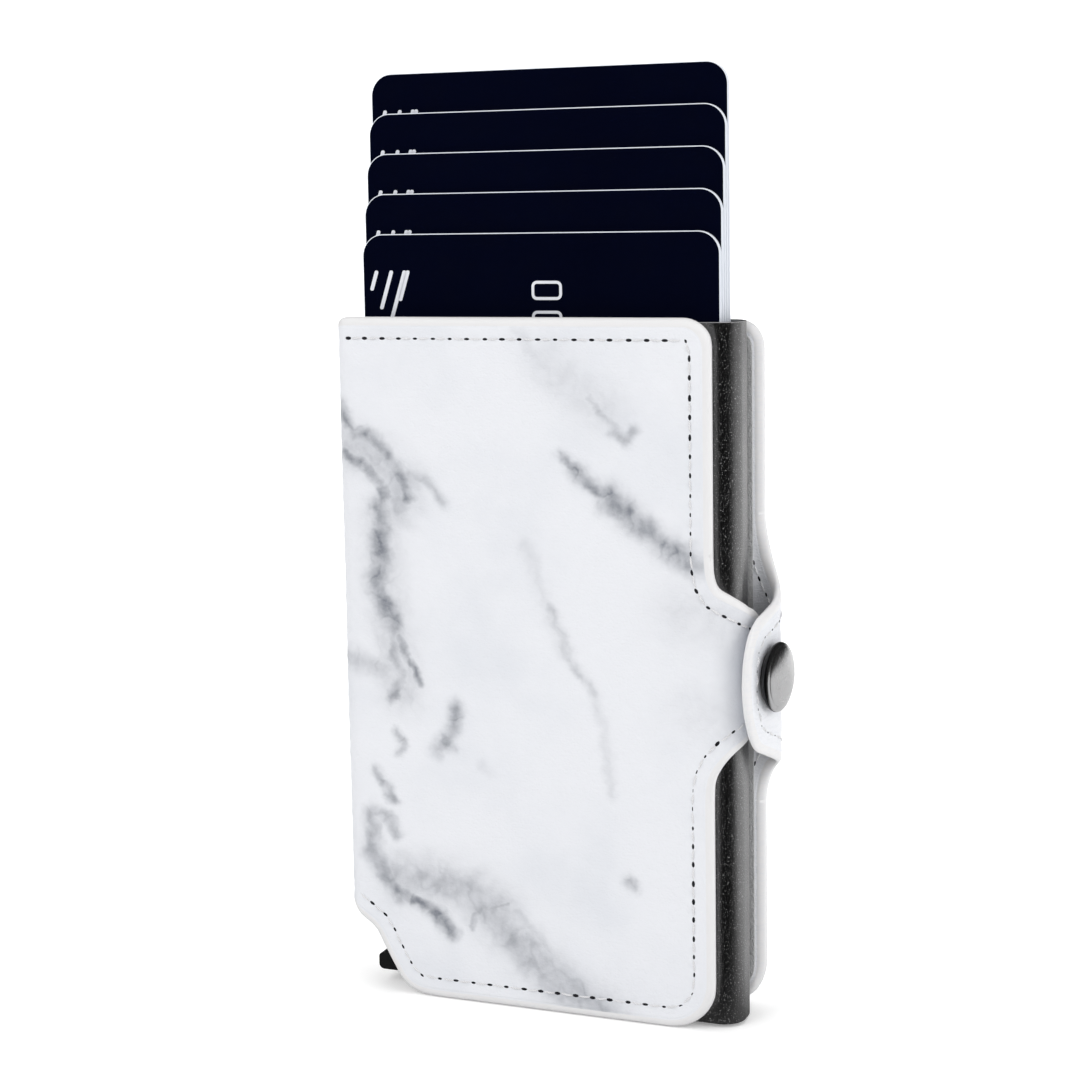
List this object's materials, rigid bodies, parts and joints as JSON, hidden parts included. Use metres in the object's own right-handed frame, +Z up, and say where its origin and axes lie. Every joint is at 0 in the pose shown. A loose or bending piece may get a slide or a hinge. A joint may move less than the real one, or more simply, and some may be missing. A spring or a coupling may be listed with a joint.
{
  "type": "card wallet",
  "caption": "Slim card wallet: a black aluminium card case that fans its cards up with a thumb lever, in a white marbled leather cover closed by a side strap with a snap.",
  "frame": {"origin": "on the ground under the middle of the whole wallet's box, as it stands with its cards fanned out", "axes": "+X towards the snap side, -Y out of the front cover, +Z up along the cards"},
  "size_m": [0.0666, 0.0158, 0.1352],
  "materials": {
    "case_metal": "black anodised aluminium, satin with a fine grain",
    "black_plastic": "matte black moulded plastic",
    "pin_steel": "plain steel pin",
    "felt": "black grip felt",
    "marble_leather": "smooth coated leather, white with grey marble veins, white painted edges",
    "lining_leather": "light grey lining leather, creased",
    "snap_metal": "polished gunmetal",
    "card_face": "near-black navy card with a white core and a plain white print"
  },
  "bodies": {
    "case": {"card_case": "case_metal", "end_plug": "black_plastic", "pivot_pin": "pin_steel", "grip_strip": "felt", "spine": "marble_leather"},
    "front_cover": {"front_panel": "marble_leather", "front_lining": "lining_leather"},
    "front_tab": {"front_tab": "marble_leather", "snap_stud": "snap_metal", "snap_rivet": "snap_metal"},
    "back_cover": {"back_panel": "marble_leather", "back_lining": "lining_leather", "back_pocket": "lining_leather"},
    "strap": {"strap": "marble_leather", "snap_cap": "snap_metal", "snap_socket": "snap_metal"},
    "lever": {"eject_lever": "black_plastic"},
    "card_1": {"card_1": "card_face"},
    "card_2": {"card_2": "card_face"},
    "card_3": {"card_3": "card_face"},
    "card_4": {"card_4": "card_face"},
    "card_5": {"card_5": "card_face"}
  },
  "joints": [
    {"name": "strap_fold", "type": "hinge", "parent": "back_cover", "child": "strap", "pos_m": [0.02854, 0.00772, 0.0505], "axis": [0, 0, 1], "range_deg": [0, 155]},
    {"name": "tab_fold", "type": "hinge", "parent": "front_cover", "child": "front_tab", "pos_m": [0.02399, -0.00618, 0.0505], "axis": [0, 0, 1], "range_deg": [-62, 0]},
    {"name": "front_cover_fold", "type": "hinge", "parent": "case", "child": "front_cover", "pos_m": [-0.03266, -0.00558, 0.05], "axis": [0, 0, 1], "range_deg": [-108, 0]},
    {"name": "back_cover_fold", "type": "hinge", "parent": "case", "child": "back_cover", "pos_m": [-0.03266, 0.00732, 0.05], "axis": [0, 0, 1], "range_deg": [0, 62]},
    {"name": "lever_press", "type": "hinge", "parent": "case", "child": "lever", "pos_m": [-0.02446, 0.00032, 0.0105], "axis": [0, -1, 0], "range_deg": [-60.4, 0]},
    {"name": "card_1_slide", "type": "slide", "parent": "case", "child": "card_1", "axis": [0, 0, 1], "range_m": [-0.0356, 0]},
    {"name": "card_2_slide", "type": "slide", "parent": "case", "child": "card_2", "axis": [0, 0, 1], "range_m": [-0.03005, 0]},
    {"name": "card_3_slide", "type": "slide", "parent": "case", "child": "card_3", "axis": [0, 0, 1], "range_m": [-0.0243, 0]},
    {"name": "card_4_slide", "type": "slide", "parent": "case", "child": "card_4", "axis": [0, 0, 1], "range_m": [-0.01855, 0]},
    {"name": "card_5_slide", "type": "slide", "parent": "case", "child": "card_5", "axis": [0, 0, 1], "range_m": [-0.0128, 0]}
  ],
  "couplings": [
    {"joint": "strap_fold", "follows": "front_cover_fold", "ratio": -1.4286},
    {"joint": "back_cover_fold", "follows": "front_cover_fold", "ratio": -0.57143},
    {"joint": "tab_fold", "follows": "front_cover_fold", "ratio": 0.57143},
    {"joint": "card_2_slide", "follows": "card_1_slide", "ratio": 0.83848},
    {"joint": "card_3_slide", "follows": "card_1_slide", "ratio": 0.67697},
    {"joint": "card_4_slide", "follows": "card_1_slide", "ratio": 0.51545},
    {"joint": "card_5_slide", "follows": "card_1_slide", "ratio": 0.35393},
    {"joint": "lever_press", "follows": "card_1_slide", "rad_per_m": 29.416}
  ]
}
